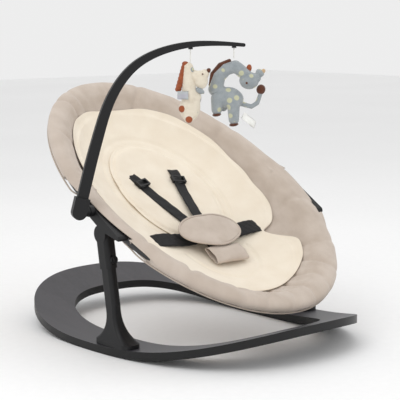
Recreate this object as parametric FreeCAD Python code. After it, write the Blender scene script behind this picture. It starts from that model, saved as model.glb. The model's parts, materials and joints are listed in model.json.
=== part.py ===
import FreeCAD, Part
import math
import os

os.makedirs("parts", exist_ok=True)
V = FreeCAD.Vector

# Bouncer seat. Millimetres, +Z up, +X towards the foot end, -Y the side that carries the toy arch.
# The seat's own pieces are drawn in the plane of its rim (s along, y across, h up) and then tilted.

# rocker board
board_t = 15.5
rocker_r = 890.0
flat_len = 60.0
rock_x = -6.0
board_x = -64.0
board_back = 307.0
board_front = 399.0
board_half = 268.0
hole_x = -52.0
hole_back = 235.0
hole_front = 290.0
hole_half = 184.0
# legs
leg_x = 42.0
leg_y = 243.0
leg_lean = 9.9
col_l = 30.0
col_w = 20.0
col_round = 7.0
sleeve_wall = 2.3
sleeve_gap = 0.3
sleeve_low = 152.0
sleeve_top = 236.0
column_short = 6.0
boot_l = 104.0
boot_w = 40.0
boot_h = 13.0
neck_h = 78.0
pivot_below_top = 17.0
pivot_r = 5.0
pin_fit = 0.05
screw_r = 3.0
screw_gap = 0.2
screw_head_r = 5.5
screw_head_h = 3.0
# stoppers under the back of the board
stop_l = 26.0
stop_w = 56.0
stop_h = 9.0
stop_x = -336.0
stop_y = 48.0
# seat
tilt = 32.0
seat_x = -22.0
seat_z = 293.0
ring_a = 360.0
ring_b = 262.0
tube_r = 9.5
tube_gap = 0.1
clear = 0.5
shell_a = 326.0
shell_b = 232.0
shell_d = 90.0
shell_t = 10.0
flange_t = 9.0
flange_over = 9.0
inlay_t = 12.0
pad_t = 9.0
# side rails
rail_s0 = -6.0
rail_s1 = 128.0
rail_in = 250.0
rail_out = 276.0
rail_low = -12.0
rail_high = 10.0
lug_t = 7.0
lug_half = 16.0
rail_taper_s = 74.0
rail_nose = 6.0
# arch
hub_s = 34.0
hub_h = 3.0
hub_r = 11.0
hub_len = 9.0
hub_pin_r = 4.0
socket_y = -306.0
arch_dir = 65.6
arch_thick = 11.0
arch_w0 = 21.0
arch_w1 = 7.0
arch_lean = 14.4
arch_tenon = 84.0
socket_l = 28.0
socket_w = 18.0
socket_up = 28.0
socket_gap = 0.3
# harness
web_w = 22.0
web_t = 1.8
slot_s = -118.0
slot_y = 57.0
key_w = 15.0
key_t = 2.4
flap_l = 46.0
flap_w = 54.0
flap_t = 16.0
cover_s = 42.0
cover_y = 66.0
cover_t = 8.0
# cushion outlines: half length, half width, centre
lobe_back_size = (222.0, 186.0, -74.0)
lobe_leg_size = (98.0, 150.0, 200.0)
inner_size = (146.0, 108.0, -42.0)
# hanging toys: place along the arch, tape length, half sizes
clip_half = 3.5
clip_t = 3.0
tape_w = 5.0
tape_t = 1.2
tape_1_l = 22.0
tape_2_l = 17.0
toy_1_t = 219.0
toy_2_t = 306.0
toy_1_body = (21.0, 15.0, 30.0)
toy_1_head = (20.0, 14.0, 27.0)
toy_2_body = (27.0, 17.0, 22.0)
toy_2_neck = (19.0, 13.0, 31.0)
toy_2_head = (19.0, 15.0, 17.0)
tail_r = 4.5
tail_l = 30.0
toy_gap = 0.3
# push buttons
button_r = 5.0
button_travel = 2.4
boss_r = 7.5
boss_out = 5.0
spring_len = 3.4

def save(name, shape):
    made[name] = shape

made = {}

def rod(p, d, r, length):
    return Part.makeCylinder(r, length, p, d)

def box(x0, x1, y0, y1, z0, z1):
    return Part.makeBox(x1 - x0, y1 - y0, z1 - z0, V(x0, y0, z0))

def closed_curve(points):
    c = Part.BSplineCurve()
    c.interpolate(Points=points, PeriodicFlag=True)
    return Part.Wire([c.toShape()])

def rounded(l, w, r, z):
    # rounded rectangle wire about the origin at height z
    x = l / 2.0 - r
    y = w / 2.0 - r
    k = r * math.sqrt(0.5)
    e = []
    corners = [(x, y, 1, 1), (-x, y, -1, 1), (-x, -y, -1, -1), (x, -y, 1, -1)]
    ends = []
    for cx, cy, sx, sy in corners:
        a = V(cx + sx * r, cy, z)
        b = V(cx, cy + sy * r, z)
        m = V(cx + sx * k, cy + sy * k, z)
        if sx * sy < 0:
            a, b = b, a
        ends.append((a, m, b))
    for i in range(4):
        a, m, b = ends[i]
        e.append(Part.Arc(a, m, b).toShape())
        e.append(Part.LineSegment(b, ends[(i + 1) % 4][0]).toShape())
    return Part.Wire(e)

def prism(wire, z0, z1):
    f = Part.Face(wire)
    f.translate(V(0, 0, z0))
    return f.extrude(V(0, 0, z1 - z0))

# board
def outline(xc, back, front, half, n_back, n_front, count=56):
    pts = []
    for i in range(count):
        a = 2.0 * math.pi * i / count
        c = math.cos(a)
        s = math.sin(a)
        n = n_front if c > 0 else n_back
        reach = front if c > 0 else back
        x = xc + reach * math.copysign(abs(c) ** (2.0 / n), c)
        y = half * math.copysign(abs(s) ** (2.0 / n), s)
        pts.append(V(x, y, 0))
    return closed_curve(pts)

def rocker_slab(low, high, wide):
    # the bent sheet between two heights above its underside, over the whole width
    x_left = rock_x - flat_len / 2.0
    x_right = rock_x + flat_len / 2.0
    a_left = math.asin((x_left - board_x + board_back + 15.0) / rocker_r)
    a_right = math.asin((board_x + board_front - x_right + 15.0) / rocker_r)
    def at(side, ang, lift):
        cx = x_left if side < 0 else x_right
        r = rocker_r - lift
        return V(cx + side * r * math.sin(ang), -wide, rocker_r - r * math.cos(ang))
    e = []
    e.append(Part.Arc(at(-1, a_left, low), at(-1, a_left / 2, low), at(-1, 0, low)).toShape())
    e.append(Part.LineSegment(at(-1, 0, low), at(1, 0, low)).toShape())
    e.append(Part.Arc(at(1, 0, low), at(1, a_right / 2, low), at(1, a_right, low)).toShape())
    e.append(Part.LineSegment(at(1, a_right, low), at(1, a_right, high)).toShape())
    e.append(Part.Arc(at(1, a_right, high), at(1, a_right / 2, high), at(1, 0, high)).toShape())
    e.append(Part.LineSegment(at(1, 0, high), at(-1, 0, high)).toShape())
    e.append(Part.Arc(at(-1, 0, high), at(-1, a_left / 2, high), at(-1, a_left, high)).toShape())
    e.append(Part.LineSegment(at(-1, a_left, high), at(-1, a_left, low)).toShape())
    return Part.Face(Part.Wire(e)).extrude(V(0, 2 * wide, 0))

outer_wire = outline(board_x, board_back, board_front, board_half, 2.49, 2.65)
hole_wire = outline(hole_x, hole_back, hole_front, hole_half, 2.75, 4.2)
board = rocker_slab(0.0, board_t, board_half + 20)
board = board.common(prism(outer_wire, -10, 200)).cut(prism(hole_wire, -20, 220))
under_board = rocker_slab(-60.0, board_t, board_half + 20)

# legs: drawn upright at the origin, leaned about Y, then set down on the board
lean = math.radians(leg_lean)
leg_dir = V(-math.sin(lean), 0, math.cos(lean))
leg_foot = V(leg_x, 0, board_t - 2.0)

def leaned(shape, side):
    s = shape.copy()
    s.rotate(V(0, 0, 0), V(0, 1, 0), -leg_lean)
    s.translate(leg_foot + V(0, side * leg_y, 0))
    return s

def along_leg(t, side, y=0.0):
    return leg_foot + V(0, side * leg_y + y, 0) + leg_dir * t

column_top = sleeve_top - 14.0
pivot_t = sleeve_top - pivot_below_top
# the sleeve's inner top stops under the pivot
sleeve_inner_top = pivot_t - pivot_r - 4.0
column_top = sleeve_inner_top - column_short
screws = []
for side, tag in ((-1, "left"), (1, "right")):
    neck = rounded(col_l, col_w, col_round, neck_h)
    neck.rotate(V(0, 0, 0), V(0, 1, 0), -leg_lean)
    neck.translate(leg_foot)
    foot = rounded(boot_l, boot_w, 16.0, 0.0)
    foot.translate(leg_foot)
    rim = rounded(boot_l, boot_w, 16.0, boot_h)
    rim.translate(leg_foot)
    mid = rounded(col_l + 16.0, col_w + 7.0, 8.0, boot_h + 22.0)
    mid.translate(leg_foot - V(math.tan(lean) * (boot_h + 22.0), 0, 0))
    slab = Part.Face(foot).extrude(V(0, 0, boot_h))
    flare = Part.makeLoft([rim, mid, neck], True, False)
    boot = slab.fuse(flare).removeSplitter()
    boot.translate(V(0, side * leg_y, 0))
    column = leaned(prism(rounded(col_l, col_w, col_round, 0), neck_h, column_top), side)
    leg = boot.fuse(column).removeSplitter().cut(under_board)
    for dx in (-32.0, 32.0):
        p = V(leg_x + dx, side * leg_y, -5.0)
        lift = max(0.0, leg_x + dx - rock_x - flat_len / 2.0) ** 2 / (2 * rocker_r)
        head = rod(V(p.x, p.y, lift + 1.0), V(0, 0, 1), screw_head_r, screw_head_h)
        body = rod(V(p.x, p.y, lift + 1.0), V(0, 0, 1), screw_r, board_t + 8.0)
        screws.append(head.fuse(body))
        board = board.cut(rod(p, V(0, 0, 1), screw_r + screw_gap, 60.0))
        board = board.cut(rod(p, V(0, 0, 1), screw_head_r + screw_gap, 5.0 + lift + 1.0 + screw_head_h))
        leg = leg.cut(rod(V(p.x, p.y, 0), V(0, 0, 1), screw_r, lift + 1.0 + board_t + 8.0))
    save("lower_leg_" + tag, leg)

    # sleeve with its push button
    out_l = col_l + 2 * (sleeve_gap + sleeve_wall)
    out_w = col_w + 2 * (sleeve_gap + sleeve_wall)
    body = prism(rounded(out_l, out_w, col_round + sleeve_wall, 0), sleeve_low, pivot_t)
    cap = rod(V(0, -out_w / 2.0, pivot_t), V(0, 1, 0), out_l / 2.0, out_w)
    body = body.fuse(cap).removeSplitter()
    bore = prism(rounded(col_l + 2 * sleeve_gap, col_w + 2 * sleeve_gap, col_round + sleeve_gap, 0),
                 sleeve_low - 1.0, sleeve_inner_top)
    body = body.cut(bore)
    button_t = sleeve_low + 16.0
    face_x = out_l / 2.0
    back_x = face_x - sleeve_wall + 1.0
    body = body.fuse(rod(V(face_x - 1.0, 0, button_t), V(1, 0, 0), boss_r, boss_out + 1.0)).removeSplitter()
    body = body.cut(rod(V(back_x, 0, button_t), V(1, 0, 0), button_r + 0.2, 40.0))
    pin_y0 = -side * (out_w / 2.0 + 2.0)
    body = body.cut(rod(V(0, pin_y0, pivot_t), V(0, side, 0), pivot_r + pin_fit, out_w - 1.0))
    save("sleeve_" + tag, leaned(body, side))
    button_x = back_x + spring_len + 0.2
    button_end = face_x + boss_out + button_travel + 0.2
    btn = rod(V(button_x, 0, button_t), V(1, 0, 0), button_r, button_end - button_x)
    btn = btn.makeFillet(1.2, [ed for ed in btn.Edges if ed.BoundBox.XMin > button_end - 0.1])
    save("height_button_" + tag, leaned(btn, side))
    spring = rod(V(back_x + 0.1, 0, button_t), V(1, 0, 0), button_r - 1.4, spring_len)
    spring = spring.cut(rod(V(back_x, 0, button_t), V(1, 0, 0), button_r - 2.4, spring_len + 1.0))
    save("button_spring_" + tag, leaned(spring, side))

save("base_board", board)
save("leg_screws", Part.Compound(screws))

# rubber stoppers under the back of the board
stops = []
for side in (-1, 1):
    block = prism(rounded(stop_l, stop_w, 8.0, 0), -stop_h, 120.0)
    block.translate(V(stop_x, side * stop_y, board_t))
    low = rocker_slab(-stop_h, 0.0, board_half)
    stops.append(block.common(low))
save("rear_stoppers", Part.Compound(stops))

# seat pieces, drawn in the rim plane
seat_at = V(seat_x, 0, seat_z)

def seated(shape):
    s = shape.copy()
    s.rotate(V(0, 0, 0), V(0, 1, 0), tilt)
    s.translate(seat_at)
    return s

def to_row(s, y, h):
    t = math.radians(tilt)
    return V(seat_x + s * math.cos(t) + h * math.sin(t), y, seat_z - s * math.sin(t) + h * math.cos(t))

def to_seat(p):
    t = math.radians(tilt)
    dx = p.x - seat_x
    dz = p.z - seat_z
    return dx * math.cos(t) - dz * math.sin(t), dx * math.sin(t) + dz * math.cos(t)

def ellipse_wire(a, b, h=0.0, s0=0.0):
    e = Part.Ellipse(V(s0, 0, h), max(a, b), min(a, b))
    w = Part.Wire([e.toShape()])
    if a < b:
        w.rotate(V(s0, 0, h), V(0, 0, 1), 90)
    return w

def ring_tube(r):
    path = ellipse_wire(ring_a, ring_b)
    c = Part.Wire([Part.Circle(V(ring_a, 0, 0), V(0, 1, 0), r).toShape()])
    return path.makePipeShell([c], True, False)

def bowl(a, b, d):
    # lower half of an ellipsoid with the rim at h = 0
    ball = Part.makeSphere(1.0, V(0, 0, 0), V(0, 0, 1), -90, 0)
    m = FreeCAD.Matrix()
    m.scale(a, b, d)
    return ball.transformGeometry(m)

def cup(a, b, d, t):
    # bowl wall
    outer = bowl(a, b, d)
    inner = bowl(a - t, b - t, d - t)
    return outer.cut(inner)

tube = ring_tube(tube_r)
tube_space = ring_tube(tube_r + tube_gap)
collar_top = tube_r + clear + flange_t
collar = prism(ellipse_wire(shell_a, shell_b), 0.0, collar_top)
collar = collar.cut(prism(ellipse_wire(shell_a - shell_t, shell_b - shell_t), -1.0, collar_top + 1))
flange = prism(ellipse_wire(ring_a + flange_over, ring_b + flange_over), tube_r + clear, collar_top)
flange = flange.cut(prism(ellipse_wire(shell_a - shell_t / 2, shell_b - shell_t / 2), 0, collar_top + 1))
shell = cup(shell_a, shell_b, shell_d, shell_t).fuse([collar, flange]).removeSplitter()
pivot_row = along_leg(pivot_t, 0)
pivot_s, pivot_h = to_seat(pivot_row)
lug_out = leg_y - (col_w / 2.0 + sleeve_gap + sleeve_wall) - clear
lug_in = lug_out - lug_t
for side in (-1, 1):
    y0, y1 = sorted((side * (lug_in - 1.5), side * (ring_b + 40)))
    shell = shell.cut(box(pivot_s - lug_half - 10, pivot_s + lug_half + 10, y0, y1, -shell_d, rail_low + 5.0))
save("seat_tube", seated(tube))

# cushions follow the bowl, each one layer inside the last
in_a = shell_a - shell_t - clear
in_b = shell_b - shell_t - clear
in_d = shell_d - shell_t - clear
layer = cup(in_a, in_b, in_d, inlay_t)
lobe_back = prism(ellipse_wire(lobe_back_size[0], lobe_back_size[1], 0, lobe_back_size[2]), -200, -4.0)
lobe_leg = prism(ellipse_wire(lobe_leg_size[0], lobe_leg_size[1], 0, lobe_leg_size[2]), -200, -4.0)
inlay = layer.common(lobe_back.fuse(lobe_leg).removeSplitter())
pad_a = in_a - inlay_t - clear
pad_b = in_b - inlay_t - clear
pad_d = in_d - inlay_t - clear
inner_edge = prism(ellipse_wire(inner_size[0], inner_size[1], 0, inner_size[2]), -200, -4.0)
inner = cup(pad_a, pad_b, pad_d, pad_t).common(inner_edge)
save("seat_inlay", seated(inlay))
save("inner_pad", seated(inner))
top_a = pad_a - pad_t
top_b = pad_b - pad_t
top_d = pad_d - pad_t

def top_h(s, y):
    k = 1.0 - (s / top_a) ** 2 - (y / top_b) ** 2
    return -top_d * math.sqrt(max(k, 0.0))

# webbing: a thin strip over the cushion from one point to another
def strip(p0, p1, lift0, lift1, mid_lift, width=web_w, t=web_t, count=7):
    low = []
    length = math.hypot(p1[0] - p0[0], p1[1] - p0[1])
    for i in range(count):
        f = i / (count - 1.0)
        s = p0[0] + (p1[0] - p0[0]) * f
        y = p0[1] + (p1[1] - p0[1]) * f
        lift = lift0 * (1 - f) + lift1 * f + mid_lift * 4 * f * (1 - f)
        low.append(V(length * f, 0, top_h(s, y) + lift))
    high = [V(p.x, 0, p.z + t) for p in low]
    a = Part.BSplineCurve()
    a.interpolate(low)
    b = Part.BSplineCurve()
    b.interpolate(high)
    w = Part.Wire([a.toShape(), Part.LineSegment(low[-1], high[-1]).toShape(), b.toShape(),
                   Part.LineSegment(high[0], low[0]).toShape()])
    f = Part.Face(w).extrude(V(0, width, 0))
    f.translate(V(0, -width / 2.0, 0))
    f.rotate(V(0, 0, 0), V(0, 0, 1), math.degrees(math.atan2(p1[1] - p0[1], p1[0] - p0[0])))
    f.translate(V(p0[0], p0[1], 0))
    return f

buckle_s = 86.0
buckle_l = 40.0
buckle_w = 46.0
buckle_low = top_h(buckle_s, 0) + 4.0
buckle_t = 13.0
for side, tag in ((-1, "left"), (1, "right")):
    start = (slot_s, side * slot_y)
    end = (buckle_s - buckle_l / 2 - 16.0, side * 17.0)
    save("shoulder_strap_" + tag, seated(strip(start, end, 3.0, 6.0, 2.0)))
    hip = (buckle_s + 6.0, side * 148.0)
    near = (buckle_s + 4.0, side * (buckle_w / 2 + 14.0))
    lift = 8.0
    save("waist_strap_" + tag, seated(strip(hip, near, lift, 8.0, 4.0)))
    # strap adjuster: a small frame round the shoulder strap
    ang = math.atan2(end[1] - start[1], end[0] - start[0])
    run = 34.0
    s = slot_s + run * math.cos(ang)
    y = side * slot_y + run * math.sin(ang)
    f = run / math.hypot(end[0] - start[0], end[1] - start[1])
    h = top_h(s, y) + 3.0 * (1 - f) + 6.0 * f + 2.0 * 4 * f * (1 - f) + web_t / 2
    slope = math.degrees(math.atan2(top_h(s + 5, y) - top_h(s - 5, y), 10.0))
    frame = box(-9, 9, -16.0, 16.0, -3.4, 3.4)
    frame = frame.cut(box(-10, 10, -web_w / 2 - 0.8, web_w / 2 + 0.8, -2.0, 2.0))
    frame = frame.cut(box(-5.5, 5.5, -web_w / 2 - 0.8, web_w / 2 + 0.8, 1.0, 5.0))
    frame.rotate(V(0, 0, 0), V(0, 1, 0), -slope)
    frame.rotate(V(0, 0, 0), V(0, 0, 1), math.degrees(ang))
    frame.translate(V(s, y, h))
    save("strap_adjuster_" + tag, seated(frame))
    # tongue between the waist strap and the buckle
    y0, y1 = sorted((side * (buckle_w / 2 - 8.0), side * (buckle_w / 2 + 13.0)))
    tongue = box(buckle_s - 9, buckle_s + 13, y0, y1, buckle_low + 5.0, buckle_low + 8.5)
    save("buckle_tongue_" + tag, seated(tongue))

housing = prism(rounded(buckle_l, buckle_w, 9.0, 0), buckle_low, buckle_low + buckle_t)
housing.translate(V(buckle_s, 0, 0))
housing = housing.cut(box(buckle_s - 9.4, buckle_s + 13.4, -30, 30, buckle_low + 4.6, buckle_low + 8.9))
key_low = buckle_low + buckle_t - 3.6
well = rod(V(buckle_s, 0, key_low), V(0, 0, 1), key_w / 2 + 0.3, 10.0)
housing = housing.cut(well)
save("buckle_housing", seated(housing))
key = rod(V(buckle_s, 0, key_low + 2.5), V(0, 0, 1), key_w / 2, key_t)
save("buckle_button", seated(key))

# crotch pad over the buckle, and the padded sleeve that runs on to the seat bottom
pad_low = buckle_low + buckle_t + 4.0
cover = prism(ellipse_wire(cover_s, cover_y, 0, buckle_s - 4.0), pad_low, pad_low + cover_t)
save("crotch_pad", seated(cover))
sleeve_s0 = buckle_s + 44.0
flap_low = pad_low - 19.5
flap_wall = 4.0
flap = box(sleeve_s0, sleeve_s0 + flap_l, -flap_w / 2, flap_w / 2, flap_low, flap_low + flap_t)
flap = flap.cut(box(sleeve_s0 - 1, sleeve_s0 + flap_l + 1, -flap_w / 2 + flap_wall + 1, flap_w / 2 - flap_wall - 1,
                    flap_low + flap_wall, flap_low + flap_t - flap_wall))
save("crotch_sleeve", seated(flap))
web_h = flap_low + flap_wall + 0.3
crotch = box(buckle_s + buckle_l / 2 + 0.5, sleeve_s0 + flap_l - 4.0, -web_w / 2, web_w / 2, web_h, web_h + web_t)
save("crotch_strap", seated(crotch))

# side rails carry the ring on the leg pivots
for side, tag in ((-1, "left"), (1, "right")):
    y0, y1 = sorted((side * rail_in, side * rail_out))
    rail = box(rail_s0, rail_s1, y0, y1, rail_low, rail_high)
    ends = [ed for ed in rail.Edges if abs(ed.BoundBox.XLength) < 0.1 and abs(ed.BoundBox.YLength) > 1]
    rail = rail.makeFillet(8.0, ends)
    # the underside runs up to a thin nose at the foot end
    nose = [V(rail_taper_s, 0, rail_low - 1), V(rail_s1 + 1, 0, rail_low - 1), V(rail_s1 + 1, 0, rail_high - rail_nose)]
    wedge = Part.Face(Part.makePolygon(nose + [nose[0]])).extrude(V(0, 2 * rail_out + 2, 0))
    wedge.translate(V(0, -rail_out - 1, 0))
    rail = rail.cut(wedge)
    y0, y1 = sorted((side * lug_in, side * (rail_in + 6.0)))
    bridge = box(pivot_s - lug_half, pivot_s + lug_half, y0, y1, rail_low, rail_low + 4.0)
    y0, y1 = sorted((side * lug_in, side * lug_out))
    lug = box(pivot_s - lug_half, pivot_s + lug_half, y0, y1, pivot_h, rail_low + 4.0)
    lug = lug.fuse(rod(V(pivot_s, side * lug_in, pivot_h), V(0, side, 0), lug_half, lug_t))
    rail = rail.fuse([bridge, lug]).removeSplitter().cut(tube_space)
    pin_len = lug_t + clear + (col_w + 2 * (sleeve_gap + sleeve_wall)) - 5.0
    rail = rail.cut(rod(V(pivot_s, side * lug_in, pivot_h), V(0, side, 0), pivot_r, lug_t))
    pin = rod(V(pivot_s, side * lug_in, pivot_h), V(0, side, 0), pivot_r, pin_len)
    save("pivot_pin_" + tag, seated(pin))
    if side < 0:
        rail = rail.cut(rod(V(hub_s, -rail_out, hub_h), V(0, 1, 0), hub_pin_r, rail_out - ring_b - tube_r - 0.5))
    save("side_rail_" + tag, seated(rail))
save("seat_shell", seated(shell))

# arch hub and its pin on the near rail
hub_row = to_row(hub_s, 0, hub_h)
hub = rod(V(hub_s, -rail_out, hub_h), V(0, -1, 0), hub_r, hub_len)
hub = hub.cut(rod(V(hub_s, -rail_out, hub_h), V(0, -1, 0), hub_pin_r, hub_len))
save("arch_hub", seated(hub))
pin_start = -(ring_b + tube_r + 0.5)
pin = rod(V(hub_s, pin_start, hub_h), V(0, -1, 0), hub_pin_r, -socket_y + pin_start)
save("arch_hub_pin", seated(pin))

# arch, drawn in its own upright plane (t along, z up) and turned about the socket
base_z = hub_row.z
al = math.radians(arch_lean)
axis_t = V(math.sin(al), 0, math.cos(al))

def arch_place(shape):
    s = shape.copy()
    s.rotate(V(0, 0, 0), V(0, 0, 1), arch_dir)
    s.translate(V(hub_row.x, socket_y, base_z))
    return s

def arch_point(t, z, n=0.0):
    a = math.radians(arch_dir)
    return V(hub_row.x + t * math.cos(a) - n * math.sin(a), socket_y + t * math.sin(a) + n * math.cos(a), base_z + z)

straight = V(axis_t.x * arch_tenon, 0, axis_t.z * arch_tenon)
spine = [straight, V(39, 0, 145), V(59, 0, 203), V(82, 0, 243), V(108, 0, 271), V(145, 0, 293),
         V(190, 0, 307), V(235, 0, 313), V(280, 0, 313), V(324, 0, 310)]
curve = Part.BSplineCurve()
curve.interpolate(Points=spine, InitialTangent=axis_t, FinalTangent=V(1, 0, -0.09))
steps = 14
left = []
right = []
for i in range(steps + 1):
    u = curve.FirstParameter + (curve.LastParameter - curve.FirstParameter) * i / steps
    p = curve.value(u)
    d = curve.tangent(u)[0]
    n = V(-d.z, 0, d.x)
    w = (arch_w0 + (arch_w1 - arch_w0) * (i / float(steps)) ** 1.3) / 2.0
    left.append(p + n * w)
    right.append(p - n * w)
side_a = Part.BSplineCurve()
side_a.interpolate(left)
side_b = Part.BSplineCurve()
side_b.interpolate(right)
tip_mid = (left[-1] + right[-1]) * 0.5 + V(arch_w1 / 2.0, 0, 0)
loop = Part.Wire([side_a.toShape(), Part.Arc(left[-1], tip_mid, right[-1]).toShape(), side_b.toShape(),
                  Part.LineSegment(right[0], left[0]).toShape()])
bend = Part.Face(loop).extrude(V(0, arch_thick, 0))
bend.translate(V(0, -arch_thick / 2.0, 0))
tenon_low = 7.0

def arch_prism(extra, t0, t1):
    b = box(-arch_w0 / 2 - extra, arch_w0 / 2 + extra, -arch_thick / 2 - extra, arch_thick / 2 + extra, t0, t1)
    b.rotate(V(0, 0, 0), V(0, 1, 0), arch_lean)
    return b

bar = bend.fuse(arch_prism(0.0, tenon_low, arch_tenon)).removeSplitter()
save("arch_bar", arch_place(bar))
sock = box(-socket_l / 2, socket_l / 2, -socket_w / 2, socket_w / 2, 0, socket_up)
sock.rotate(V(0, 0, 0), V(0, 1, 0), arch_lean)
ball = rod(V(0, -socket_w / 2, 0), V(0, 1, 0), socket_l / 2, socket_w)
sock = sock.fuse(ball).removeSplitter().cut(arch_prism(socket_gap, tenon_low - 0.3, 80.0))
sock = arch_place(sock)
boss_y = -(rail_out + hub_len + 0.3)
boss = rod(V(hub_row.x, boss_y, hub_row.z), V(0, -1, 0), hub_r - 1.0, boss_y - socket_y - 3.0)
sock = sock.fuse(boss).removeSplitter()
sock = sock.cut(arch_place(arch_prism(socket_gap, tenon_low - 0.3, 80.0)))
sock = sock.cut(rod(V(hub_row.x, boss_y + 1, hub_row.z), V(0, -1, 0), hub_pin_r + pin_fit, boss_y + 1 - socket_y + 0.5))
save("arch_socket", sock)

# toys: hung by short tapes under the bar
def ellipsoid(t, z, size, extra=0.0):
    ball = Part.makeSphere(1.0)
    m = FreeCAD.Matrix()
    m.scale(size[0] + extra, size[1] + extra, size[2] + extra)
    b = ball.transformGeometry(m)
    b.translate(V(t, 0, z))
    return b

def bar_under(t):
    return bar.common(box(t - clip_half, t + clip_half, -clip_half, clip_half, 100.0, 400.0)).optimalBoundingBox().ZMin

# each tape turns about the round end that it hangs by
toy_hang = {}
toy_drop = {}
for tag, t, tape in (("1", toy_1_t, tape_1_l), ("2", toy_2_t, tape_2_l)):
    z = bar_under(t)
    clip = box(t - clip_half, t + clip_half, -clip_half, clip_half, z - clip_t, z + 4.0).cut(bar)
    save("toy_clip_" + tag, arch_place(clip))
    hang = z - clip_t - 0.3 - tape_w / 2
    strap = box(t - tape_t / 2, t + tape_t / 2, -tape_w / 2, tape_w / 2, hang - tape, hang)
    strap = strap.fuse(rod(V(t - tape_t / 2, 0, hang), V(1, 0, 0), tape_w / 2, tape_t)).removeSplitter()
    save("toy_tape_" + tag, arch_place(strap))
    toy_hang[tag] = hang
    toy_drop[tag] = hang - tape
z1 = toy_drop["1"] - toy_gap
body = ellipsoid(toy_1_t - 7, z1 - 82, toy_1_body)
head = ellipsoid(toy_1_t - 1, z1 - toy_1_head[2], toy_1_head)
room = ellipsoid(toy_1_t - 7, z1 - 82, toy_1_body, toy_gap)
save("toy_1_body", arch_place(body))
save("toy_1_head", arch_place(head.cut(room)))
z2 = toy_drop["2"] - toy_gap
body = ellipsoid(toy_2_t - 22, z2 - 82, toy_2_body)
neck = ellipsoid(toy_2_t - 10, z2 - toy_2_neck[2], toy_2_neck)
head = ellipsoid(toy_2_t + 29, z2 - 34, toy_2_head)
neck = neck.cut(ellipsoid(toy_2_t - 22, z2 - 82, toy_2_body, toy_gap))
neck = neck.cut(ellipsoid(toy_2_t + 29, z2 - 34, toy_2_head, toy_gap))
save("toy_2_body", arch_place(body))
save("toy_2_neck", arch_place(neck))
save("toy_2_head", arch_place(head))
tail_from = toy_2_t - 22 + toy_2_body[0] + toy_gap
save("toy_2_tail", arch_place(rod(V(tail_from, 0, z2 - 84), V(1, 0, 0.1), tail_r, tail_l)))

# row frame: origin under the middle of the whole, on the floor
everything = Part.Compound(list(made.values()))
bb = everything.optimalBoundingBox(False)
shift = V(-(bb.XMin + bb.XMax) / 2.0, -(bb.YMin + bb.YMax) / 2.0, -bb.ZMin)
for name, shape in made.items():
    moved = shape.copy()
    moved.translate(shift)
    ok = moved.isValid()
    moved.exportStep("parts/" + name + ".step")
    if not ok or len(moved.Solids) != 1:
        print(name, "valid", ok, "solids", len(moved.Solids))
def show(label, p):
    q = p + shift
    print(label, round(q.x, 3), round(q.y, 3), round(q.z, 3))
show("SHIFT", V(0, 0, 0))
show("PIVOT", pivot_row)
show("HUB", hub_row)
show("LEGDIR", leg_dir - shift)
show("CLIP1", arch_point(toy_1_t, toy_hang["1"]))
show("CLIP2", arch_point(toy_2_t, toy_hang["2"]))
show("ARCHAXIS", arch_point(axis_t.x, axis_t.z) - arch_point(0, 0) - shift)
show("ARCHPLANE", arch_point(1.0, 0) - arch_point(0, 0) - shift)
show("SEATUP", to_row(0, 0, 1) - to_row(0, 0, 0) - shift)
show("SEAT0", to_row(0, 0, 0))
print("nodes", len(made), "box", round(bb.XLength, 1), round(bb.YLength, 1), round(bb.ZLength, 1))
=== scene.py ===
import json
import math
import bpy
import bmesh
from mathutils import Matrix, Vector, noise
from mathutils.bvhtree import BVHTree


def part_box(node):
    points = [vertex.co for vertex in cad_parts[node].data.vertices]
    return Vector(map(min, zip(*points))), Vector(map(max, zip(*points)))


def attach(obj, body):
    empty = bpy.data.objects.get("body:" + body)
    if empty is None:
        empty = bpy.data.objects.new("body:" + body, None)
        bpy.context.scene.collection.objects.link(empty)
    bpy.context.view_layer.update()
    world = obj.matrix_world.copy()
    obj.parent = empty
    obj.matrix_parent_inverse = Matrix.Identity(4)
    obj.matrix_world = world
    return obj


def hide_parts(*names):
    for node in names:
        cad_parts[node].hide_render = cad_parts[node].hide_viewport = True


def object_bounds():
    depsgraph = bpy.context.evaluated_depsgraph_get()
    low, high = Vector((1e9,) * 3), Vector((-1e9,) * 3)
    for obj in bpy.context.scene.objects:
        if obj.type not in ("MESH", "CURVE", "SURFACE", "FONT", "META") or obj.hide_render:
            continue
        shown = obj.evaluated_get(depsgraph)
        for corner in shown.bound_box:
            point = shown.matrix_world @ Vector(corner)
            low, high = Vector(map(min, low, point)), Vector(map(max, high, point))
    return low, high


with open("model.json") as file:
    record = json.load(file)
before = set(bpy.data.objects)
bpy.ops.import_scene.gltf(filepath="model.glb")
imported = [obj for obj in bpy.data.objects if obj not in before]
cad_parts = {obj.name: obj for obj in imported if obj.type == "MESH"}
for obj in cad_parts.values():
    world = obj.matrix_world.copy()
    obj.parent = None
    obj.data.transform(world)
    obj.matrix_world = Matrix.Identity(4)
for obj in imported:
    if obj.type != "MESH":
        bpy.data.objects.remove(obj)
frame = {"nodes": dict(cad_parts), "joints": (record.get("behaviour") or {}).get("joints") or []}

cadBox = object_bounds()
scene = bpy.context.scene
nodes = frame["nodes"]

# where the seat lies
pressJoint = next(j for j in frame["joints"] if j["name"] == "buckle_press")
seatUp = -Vector(pressJoint["axis"]).normalized()
seatAlong = Vector((seatUp.z, 0, -seatUp.x))
tubeLow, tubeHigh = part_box("seat_tube")
seatPlace = Matrix((seatAlong, (0, 1, 0), seatUp)).transposed().to_4x4()
seatPlace.translation = (tubeLow + tubeHigh) / 2
toSeat = seatPlace.inverted()  # seat frame: x towards the feet, y across, z out of the bowl

studio = {
    "azimuth": 48.49, "elevation": 8.24, "distance": 2.602,
    "target": (0.0232, 0.0236, 0.2712), "lens": 114.9,
}


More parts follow.
